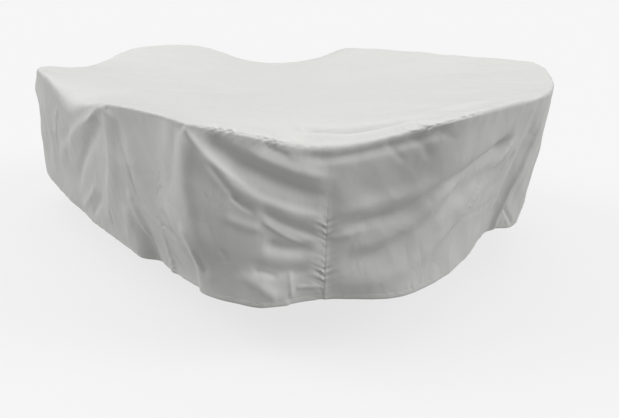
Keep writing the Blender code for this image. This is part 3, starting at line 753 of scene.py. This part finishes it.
    def below_rim(self, places: Places) -> np.ndarray:
        """Measure how far places lie below the rim's seam, along the cloth.

        Args:
            places: Where to measure it.

        Returns:
            The distances, in metres, negative on the top.
        """
        half = self.EDGE_ARC * places.radius
        out = np.linalg.norm(places.rim[..., :2], axis=-1) - places.radius
        below = (places.row - SEAM_ROW) * 2 * half
        below = np.where(places.row > EDGE_END, half + (places.row - EDGE_END) * places.drop, below)
        return np.where(places.row < EDGE_START, -half - (EDGE_START - places.row) * out, below)

    def sewn(self, places: Places) -> np.ndarray:
        """How far the seams and the hem push the cloth, with their puckers.

        Args:
            places: Where to evaluate it.

        Returns:
            The push, in metres.
        """
        sewing = self.sewing
        across = self.seam_gap(places.along)
        below = self.below_rim(places)
        corner = np.zeros(places.along.shape)
        for seam in self.corner_seams:
            gap = short_way(places.along - seam, self.around)
            corner = np.maximum(corner, bell(gap ** 2, self.CORNER_REACH ** 2))
        lower = smooth_step(below, *self.GATHERED)
        push = smooth_step(below, 0.0, self.SEWN_FROM) * sewing.seam(across)
        push = push * (self.UPPER_SEAM + (1 - self.UPPER_SEAM) * lower)
        push = push + lower * corner * sewing.corner.push(below, across)
        push = push + lower * (1 - corner) * sewing.plain.push(below, across)
        tight = self.rim_tightness(places.along)
        plain_rim, tight_rim = self.RIM_SEAM
        push = push + sewing.seam(below) * (plain_rim + tight_rim * tight)
        push = push + (1 - tight) * sewing.rim.push(places.along, below)
        push = push + tight * sewing.rim_tight.push(places.along, below)
        above = (HEM_ROW - places.row) * places.drop
        push = push + np.where(places.row > EDGE_END, sewing.hem_edge(above), 0.0)
        return push + sewing.hem.push(places.along, above - sewing.hem_height)

    def rim_tightness(self, along: np.ndarray) -> np.ndarray:
        """How strongly the rim's seam is drawn up, from 0 to 1, most beside the near corner."""
        return np.max([strength * bell(short_way(along, self.around) - place, self.TIGHT_REACH)
                       for place, strength in self.TIGHT_PLACES], axis=0)


class Value:
    """A number that varies over a surface, with arithmetic on its socket."""

    def __init__(self, graph: "Graph", socket: bpy.types.NodeSocket) -> None:
        """Wrap a socket of a graph."""
        self.graph = graph
        self.socket = socket

    def __add__(self, other: "Value | float") -> "Value":
        """Sum of the two."""
        return self.graph.math("ADD", self, other)

    def __radd__(self, other: float) -> "Value":
        """Sum of the two."""
        return self.graph.math("ADD", other, self)

    def __sub__(self, other: "Value | float") -> "Value":
        """Difference of the two."""
        return self.graph.math("SUBTRACT", self, other)

    def __rsub__(self, other: float) -> "Value":
        """Difference of the two."""
        return self.graph.math("SUBTRACT", other, self)

    def __mul__(self, other: "Value | float") -> "Value":
        """Product of the two."""
        return self.graph.math("MULTIPLY", self, other)

    def __rmul__(self, other: float) -> "Value":
        """Product of the two."""
        return self.graph.math("MULTIPLY", other, self)

    def __abs__(self) -> "Value":
        """Size without the sign."""
        return self.graph.math("ABSOLUTE", self)

    def sine(self) -> "Value":
        """Sine of an angle in radians."""
        return self.graph.math("SINE", self)

    def power(self, exponent: float) -> "Value":
        """The value raised to a power."""
        return self.graph.math("POWER", self, exponent)


class Graph:
    """The node tree of a material or of the world."""

    def __init__(self, owner: bpy.types.Material | bpy.types.World) -> None:
        """Give the owner an empty tree.

        Args:
            owner: What the nodes are for.
        """
        owner.use_nodes = True
        self.tree = owner.node_tree
        self.tree.nodes.clear()

    def add(self, kind: str, settings: dict, inputs: dict, result: int | str = 0) -> Value:
        """Add a node.

        Args:
            kind: The node's type.
            settings: Its settings, which are set before its inputs.
            inputs: Values or links of its sockets, by name or number.
            result: The output that is wanted.

        Returns:
            That output.
        """
        node = self.tree.nodes.new(kind)
        for name, value in settings.items():
            setattr(node, name, value)
        for name, value in inputs.items():
            if isinstance(value, Value):
                self.tree.links.new(value.socket, node.inputs[name])
            else:
                node.inputs[name].default_value = value
        return Value(self, node.outputs[result])

    def math(self, operation: str, *values: Value | float) -> Value:
        """Add a Math node.

        Args:
            operation: What the node does.
            values: Its inputs.

        Returns:
            The node's result.
        """
        return self.add("ShaderNodeMath", {"operation": operation}, dict(enumerate(values)))

    def output(self, kind: str, shader: Value) -> None:
        """Add an output node and send a shader to it."""
        node = self.tree.nodes.new(kind)
        self.tree.links.new(shader.socket, node.inputs["Surface"])


@dataclass(frozen=True)
class ClothFinish:
    """Fine plain-woven polyester, pale warm grey, semi-matt with a soft sheen."""

    light: tuple[float, float, float, float] = (0.56, 0.56, 0.545, 1.0)
    dark: tuple[float, float, float, float] = (0.53, 0.53, 0.513, 1.0)
    mottle_scale: float = 3.0          # the scales are in waves for each metre
    roughness: float = 0.58            # where the mottle is 0
    roughness_spread: float = 0.08     # what the mottle adds
    thread: float = 0.0011             # from one thread to the next
    thread_height: float = 0.00006
    crinkle_scale: float = 26.0
    crinkle_height: float = 0.0012
    crease_scale: float = 8.0
    crease_patches: float = 2.2        # scale of the patches that are creased more, or less
    crease_drawn: float = 0.6          # how far the creases are drawn out downwards
    crease_height: float = 0.016

    def material(self) -> bpy.types.Material:
        """Build the material."""
        material = bpy.data.materials.new("cover_cloth")
        graph = Graph(material)
        place = graph.add("ShaderNodeTexCoord", {}, {}, "Object")
        crinkle = self.noise(graph, place, self.crinkle_scale, {"Detail": 5.0, "Roughness": 0.55})
        mottle = self.noise(graph, place, self.mottle_scale, {"Detail": 4.0, "Roughness": 0.6})
        height = (self.weave(graph) * self.thread_height + crinkle * self.crinkle_height
                  + self.creases(graph, place) * self.crease_height)
        colour = graph.add("ShaderNodeMix", {"data_type": "RGBA"},
                           {0: mottle, 6: self.dark, 7: self.light}, 2)
        bump = graph.add("ShaderNodeBump", {}, {"Height": height, "Distance": 1.0, "Strength": 1.0})
        graph.output("ShaderNodeOutputMaterial", graph.add("ShaderNodeBsdfPrincipled", {}, {
            "Base Color": colour,
            "Roughness": mottle * self.roughness_spread + self.roughness,
            "Sheen Weight": 0.15,
            "Sheen Roughness": 0.4,
            "Specular IOR Level": 0.35,
            "Normal": bump,
        }))
        return material

    def noise(self, graph: Graph, place: Value, scale: float, inputs: dict) -> Value:
        """Add a noise of some scale, with its other inputs."""
        return graph.add("ShaderNodeTexNoise", {"noise_dimensions": "3D"},
                         {"Vector": place, "Scale": scale} | inputs)

    def creases(self, graph: Graph, place: Value) -> Value:
        """Draw fine meandering creases, longest downwards.

        Args:
            graph: The material's nodes.
            place: Places in space.

        Returns:
            Their height, from 0.
        """
        drawn = graph.add("ShaderNodeMapping", {},
                          {"Vector": place, "Scale": (1.0, 1.0, self.crease_drawn)})
        lines = self.noise(graph, drawn, self.crease_scale, {"Detail": 1.5, "Distortion": 0.5})
        patches = self.noise(graph, place, self.crease_patches, {"Detail": 1.0})
        return abs(lines - 0.5) * patches

    def weave(self, graph: Graph) -> Value:
        """Cross the threads over the cut cloth.

        Args:
            graph: The material's nodes.

        Returns:
            Their height, from -1 to 1.
        """
        cut = graph.add("ShaderNodeUVMap", {"uv_map": "cut"}, {})
        warp = graph.add("ShaderNodeSeparateXYZ", {}, {0: cut}, 0)
        weft = graph.add("ShaderNodeSeparateXYZ", {}, {0: cut}, 1)
        turn = math.pi / self.thread
        return (warp * turn).sine() * (weft * turn).sine()


class Held(Enum):
    """How a panel stays up."""

    HUNG = "hung"
    DRAPED = "draped"


@dataclass
class Panel:
    """One cut piece of cloth: some columns and rows of the surface.

    Attributes:
        name: The piece's name.
        node: The solid that it stands for.
        flat: Width and length that it is cut to, in metres. Not used.
        area: Flat area of the cut, in square metres. Not used.
        held: How it stays up. Not used.
        rests_on: The pieces that it hangs from. Not used.
        columns: Distances round the rim.
        rows: Rows of the surface.
        closed: Whether its first and last columns are one, and its first row a point.
        weld: Distance within which vertices are one.
    """

    name: str
    node: str
    flat: tuple[float, float]
    area: float
    held: Held
    rests_on: list[str]
    columns: np.ndarray
    rows: np.ndarray
    closed: bool = False
    weld: float = 1e-6

    def build(self, surface: Surface, material: bpy.types.Material) -> bpy.types.Object:
        """Make the panel's mesh, lay it on the surface and dress it.

        Args:
            surface: The cover's middle surface.
            material: The cloth.

        Returns:
            The finished piece.
        """
        mesh = self.grid()
        self.lay(mesh, surface)
        self.join(mesh)
        mesh.shade_smooth()
        mesh.materials.append(material)
        piece = bpy.data.objects.new(self.name, mesh)
        bpy.context.scene.collection.objects.link(piece)
        wall = piece.modifiers.new("thickness", "SOLIDIFY")
        wall.thickness = CLOTH_THICKNESS
        wall.offset = 0.0
        wall.use_even_offset = False
        corner = piece.modifiers.new("crisp cut edge", "EDGE_SPLIT")
        corner.split_angle = math.radians(CUT_EDGE_ANGLE)
        corner.use_edge_sharp = False
        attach(piece, "root")
        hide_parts(self.node)
        log.info("%s: %d faces", self.name, len(mesh.polygons))
        return piece

    def grid(self) -> bpy.types.Mesh:
        """Start from a flat grid with a vertex for each column and row."""
        bm = bmesh.new()
        bmesh.ops.create_grid(bm, x_segments=len(self.columns) - 1,
                              y_segments=len(self.rows) - 1, size=1.0)
        mesh = bpy.data.meshes.new(self.name)
        bm.to_mesh(mesh)
        bm.free()
        return mesh

    def lay(self, mesh: bpy.types.Mesh, surface: Surface) -> None:
        """Move the grid on to the surface and give it its map in metres of cut cloth.

        Args:
            mesh: The flat grid.
            surface: The cover's middle surface.
        """
        place = np.zeros(len(mesh.vertices) * 3)
        mesh.vertices.foreach_get("co", place)
        place = place.reshape(-1, 3)
        i = np.rint((place[:, 0] + 1) / 2 * (len(self.columns) - 1)).astype(int)
        j = np.rint((place[:, 1] + 1) / 2 * (len(self.rows) - 1)).astype(int)
        along, row = np.meshgrid(self.columns, self.rows, indexing="ij")
        points = surface.point(along, row)
        rim, inner = (-1, -2) if self.closed else (0, 1)
        back = points[:, inner] - points[:, rim]
        points[:, rim] += back / np.linalg.norm(back, axis=-1, keepdims=True) * SEAM_GAP / 2
        mesh.vertices.foreach_set("co", points[i, j].astype(np.float32).ravel())
        corner = np.zeros(len(mesh.loops), dtype=np.int32)
        mesh.loops.foreach_get("vertex_index", corner)
        cut = self.cut_map(points)
        layer = mesh.uv_layers.new(name="cut")
        layer.uv.foreach_set("vector", cut[i, j][corner].astype(np.float32).ravel())

    def cut_map(self, points: np.ndarray) -> np.ndarray:
        """Lay the piece out flat, in metres.

        Args:
            points: The piece's vertices by column and row.

        Returns:
            The flat places by column and row.
        """
        if self.closed:
            return points[..., :2].copy()
        steps = np.linalg.norm(np.diff(points, axis=1), axis=-1)
        down = np.concatenate([np.zeros((len(points), 1)), np.cumsum(steps, axis=1)], axis=1)
        along = np.broadcast_to(self.columns[:, None], down.shape)
        return np.stack([along, -down], axis=-1)

    def join(self, mesh: bpy.types.Mesh) -> None:
        """Close the ring and the middle of a closed piece and point the faces outwards.

        Args:
            mesh: The piece's mesh.
        """
        bm = bmesh.new()
        bm.from_mesh(mesh)
        bmesh.ops.remove_doubles(bm, verts=bm.verts, dist=self.weld)
        bmesh.ops.recalc_face_normals(bm, faces=bm.faces)
        middle = max(bm.faces, key=lambda face: face.calc_center_median().z)
        if middle.normal.z < 0:
            bmesh.ops.reverse_faces(bm, faces=bm.faces)
        bm.to_mesh(mesh)
        bm.free()


@dataclass
class Cover:
    """The whole cover: a top and four lengths of skirt.

    Its spacings are in metres on the skirt, and in parts of the way out on the top.
    """

    near_columns: float = 0.0065   # from one column to the next on the near side
    far_columns: float = 0.018
    seam_columns: float = 0.0025   # beside a skirt seam
    seam_band: float = 0.016       # how far from the seam that goes
    near_side: tuple[float, float] = (-2.2, 1.6)    # stretch of the rim that is the near side
    near_fade: float = 0.3         # how far beyond it the spacing grows
    skirt_step: float = 0.0075     # from one row to the next down the skirt
    hem_step: float = 0.003        # and at the hem
    hem_band: tuple[float, float] = (0.07, 0.05)    # heights, in skirts, between which it closes
    middle_step: float = 0.050     # from one row to the next in the middle of the top
    outer_step: float = 0.0115     # and towards its rim
    outer_band: tuple[float, float] = (0.50, 0.80)  # parts of the way out between which it closes
    edge_rows: int = 11            # rows on each side of the rim's seam over the rounded edge
    edge_crowding: float = 1.7     # how much closer these are by the seam

    PROBES = 6000                  # places at which a spacing is added up

    def build(self, material: bpy.types.Material) -> None:
        """Build the five pieces.

        Args:
            material: The cloth.
        """
        surface = Surface()
        skirt_rows = self.skirt_rows()
        skirts = (
            ("cloth_right_and_back", "skirt_right_and_back", (0.76, 3.86), 2.78),
            ("cloth_far_corner", "skirt_far_corner", (0.69, 0.60), 0.38),
            ("cloth_left_and_front", "skirt_left_and_front", (0.76, 3.98), 2.74),
            ("cloth_near_corner", "skirt_near_corner", (0.75, 0.79), 0.50),
        )
        ends = surface.seams[1:] + [surface.around]
        for (name, node, flat, area), start, end in zip(skirts, surface.seams, ends):
            columns = self.columns(surface, start + SEAM_GAP / 2, end - SEAM_GAP / 2)
            panel = Panel(name, node, flat, area, Held.HUNG, ["cloth_top"], columns, skirt_rows)
            panel.build(surface, material)
        top = Panel("cloth_top", "top_panel", (2.42, 3.18), 6.20, Held.DRAPED, [],
                    self.columns(surface, 0.0, surface.around), self.top_rows(), closed=True)
        top.build(surface, material)

    def columns(self, surface: Surface, start: float, end: float) -> np.ndarray:
        """Space the columns of a panel, closer where more is seen.

        Args:
            surface: The cover's middle surface.
            start: First column.
            end: Last column.

        Returns:
            Distances round the rim.
        """
        def spacing(along: np.ndarray) -> np.ndarray:
            """Choose the distance between columns.

            Args:
                along: Distances round the rim.

            Returns:
                The spacing there.
            """
            short = short_way(along, surface.around)
            first, last = self.near_side
            near = (smooth_step(short, first - self.near_fade, first)
                    * (1 - smooth_step(short, last, last + self.near_fade)))
            plain = self.far_columns + (self.near_columns - self.far_columns) * near
            by_seam = np.abs(surface.seam_gap(along)) < self.seam_band
            return np.where(by_seam, self.seam_columns, plain)
        return self.graded(start, end, spacing)

    def skirt_rows(self) -> np.ndarray:
        """Rows of the skirt, closer over the edge and at the hem."""
        def spacing(row: np.ndarray) -> np.ndarray:
            """Choose the distance between rows.

            Args:
                row: Rows of the skirt.

            Returns:
                The spacing there, as a part of the skirt's height.
            """
            far, close = self.hem_band
            hem = smooth_step(row, HEM_ROW - far, HEM_ROW - close)
            return (self.skirt_step + (self.hem_step - self.skirt_step) * hem) / SKIRT_DROP
        edge = SEAM_ROW + (EDGE_END - SEAM_ROW) * self.edge_steps()
        return np.concatenate([edge[:-1], self.graded(EDGE_END, HEM_ROW, spacing)])

    def top_rows(self) -> np.ndarray:
        """Rows of the top, closer towards the rim."""
        def spacing(row: np.ndarray) -> np.ndarray:
            """Local distance between rows, as a part of the way out."""
            outer = smooth_step(row, *self.outer_band)
            return self.middle_step + (self.outer_step - self.middle_step) * outer
        edge = SEAM_ROW - (SEAM_ROW - EDGE_START) * self.edge_steps()[::-1]
        return np.concatenate([self.graded(0.0, EDGE_START, spacing)[:-1], edge])

    def edge_steps(self) -> np.ndarray:
        """Parts of the way from the rim's seam to the end of the rounded edge."""
        return np.linspace(0.0, 1.0, self.edge_rows + 1) ** self.edge_crowding

    def graded(self, start: float, end: float,
               spacing: Callable[[np.ndarray], np.ndarray]) -> np.ndarray:
        """Step from start to end by the local spacing.

        Args:
            start: First place.
            end: Last place.
            spacing: Gives the spacing at some places.

        Returns:
            The places.
        """
        probe = np.linspace(start, end, self.PROBES)
        cells = np.diff(probe) / spacing((probe[1:] + probe[:-1]) / 2)
        count = np.concatenate([[0.0], np.cumsum(cells)])
        total = max(1, round(count[-1]))
        return np.interp(np.linspace(0, count[-1], total + 1), count, probe)


@dataclass(frozen=True)
class Sun:
    """A far soft light.

    Attributes:
        turn: Where it stands, in degrees anticlockwise from +X.
        height: Degrees above the horizon.
        strength: Its strength.
        spread: Its apparent width in degrees, which softens its shadows.
    """

    turn: float
    height: float
    strength: float
    spread: float


@dataclass
class Studio:
    """Camera, light and floor."""

    camera_place: tuple[float, float, float] = (2.5244, -1.8438, 0.440)
    camera_turn: float = 49.70         # degrees from looking along +Y, towards -X
    camera_pitch: float = 22.06        # degrees below the horizon
    lens: float = 29.11
    sensor: float = 36.0
    floor_height: float = -MIDDLE_HEIGHT
    floor_radius: float = 400.0
    floor_sides: int = 96
    floor_albedo: float = 0.13
    floor_glow: float = 0.735          # what the camera sees of the floor's own glow
    floor_cast: float = 0.33           # what the cloth gets of it
    backdrop: float = 0.92             # what the camera sees instead of the sky
    sky_low: float = 0.10              # light from the horizon
    sky_high: float = 1.80             # what the zenith adds
    sky_power: float = 3.0             # how closely that gathers round the zenith
    suns: tuple[Sun, ...] = (Sun(-136.0, 36.0, 1.7, 30.0), Sun(42.0, 33.0, 1.7, 30.0))

    def build(self) -> None:
        """Make the studio."""
        self.camera()
        self.floor()
        self.sky()
        for number, sun in enumerate(self.suns):
            self.sun(f"sun_{number}", sun)

    def camera(self) -> None:
        """Place the camera."""
        data = bpy.data.cameras.new("camera")
        data.lens = self.lens
        data.sensor_width = self.sensor
        data.clip_end = 2 * self.floor_radius
        camera = bpy.data.objects.new("camera", data)
        camera.location = self.camera_place
        camera.rotation_euler = (math.radians(90 - self.camera_pitch), 0.0,
                                 math.radians(self.camera_turn))
        bpy.context.scene.collection.objects.link(camera)
        bpy.context.scene.camera = camera

    def floor(self) -> None:
        """Make the pale floor, with a glow of its own that keeps its shadows faint."""
        bm = bmesh.new()
        bmesh.ops.create_circle(bm, cap_ends=True, segments=self.floor_sides, radius=self.floor_radius,
                                matrix=Matrix.Translation((0.0, 0.0, self.floor_height)))
        mesh = bpy.data.meshes.new("floor")
        bm.to_mesh(mesh)
        bm.free()
        material = bpy.data.materials.new("floor")
        graph = Graph(material)
        seen = graph.add("ShaderNodeLightPath", {}, {}, "Is Camera Ray")
        graph.output("ShaderNodeOutputMaterial", graph.add("ShaderNodeBsdfPrincipled", {}, {
            "Base Color": (self.floor_albedo,) * 3 + (1.0,),
            "Roughness": 1.0,
            "Specular IOR Level": 0.0,
            "Emission Color": WHITE,
            "Emission Strength": seen * (self.floor_glow - self.floor_cast) + self.floor_cast,
        }))
        mesh.materials.append(material)
        floor = bpy.data.objects.new("floor", mesh)
        bpy.context.scene.collection.objects.link(floor)

    def sky(self) -> None:
        """Light the room from a ceiling that is brightest overhead, with a plain pale backdrop."""
        world = bpy.data.worlds.new("studio")
        graph = Graph(world)
        way = graph.add("ShaderNodeTexCoord", {}, {}, "Generated")
        up = graph.math("MAXIMUM", graph.add("ShaderNodeSeparateXYZ", {}, {0: way}, 2), 0.0)
        ceiling = up.power(self.sky_power) * self.sky_high + self.sky_low
        seen = graph.add("ShaderNodeLightPath", {}, {}, "Is Camera Ray")
        light = graph.add("ShaderNodeBackground", {}, {"Color": WHITE, "Strength": ceiling})
        backdrop = graph.add("ShaderNodeBackground", {}, {"Color": WHITE, "Strength": self.backdrop})
        both = graph.add("ShaderNodeMixShader", {}, {0: seen, 1: light, 2: backdrop})
        graph.output("ShaderNodeOutputWorld", both)
        bpy.context.scene.world = world

    def sun(self, name: str, sun: Sun) -> None:
        """Hang a far soft light.

        Args:
            name: Its name.
            sun: Where it stands, and its light.
        """
        data = bpy.data.lights.new(name, "SUN")
        data.energy = sun.strength
        data.angle = math.radians(sun.spread)
        light = bpy.data.objects.new(name, data)
        light.rotation_euler = (0.0, math.radians(90 - sun.height), math.radians(sun.turn))
        bpy.context.scene.collection.objects.link(light)


def main() -> None:
    """Build the studio and the cover."""
    logging.basicConfig(level=logging.INFO, format="%(name)s: %(message)s")
    bpy.context.scene.view_settings.view_transform = "Standard"
    Studio().build()
    Cover().build(ClothFinish().material())


if __name__ == "__main__":
    main()
